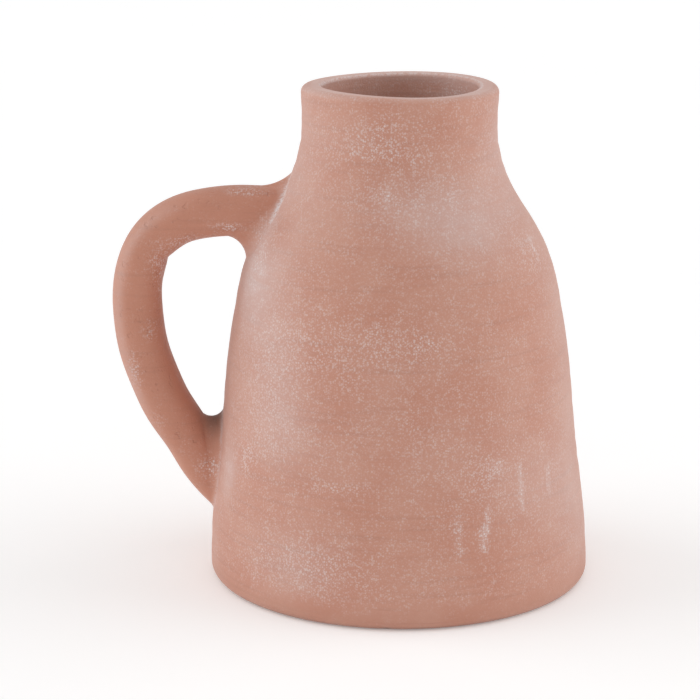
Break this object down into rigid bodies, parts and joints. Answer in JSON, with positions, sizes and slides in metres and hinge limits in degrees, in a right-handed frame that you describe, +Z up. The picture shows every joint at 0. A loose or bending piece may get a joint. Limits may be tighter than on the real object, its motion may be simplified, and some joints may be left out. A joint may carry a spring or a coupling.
{
  "type": "ceramic pitcher",
  "caption": "Hand-thrown terracotta pitcher with a wide flat base, sloping shoulder, short open neck and one looped side handle.",
  "frame": {"origin": "centre of the flat underside of the body", "axes": "+Z up the vessel's turning axis, -X towards the handle, Y across; the handle lies in the XZ plane"},
  "size_m": [0.2214, 0.1772, 0.23],
  "materials": {
    "body_clay": "matte unglazed terracotta with a thin worn whitewash",
    "handle_clay": "matte unglazed terracotta with little whitewash",
    "join_clay": "matte unglazed terracotta, whitewash caught in the crease"
  },
  "bodies": {
    "root": {"body": "body_clay", "handle": "handle_clay", "upper_handle_join": "join_clay", "lower_handle_join": "join_clay"}
  },
  "joints": []
}
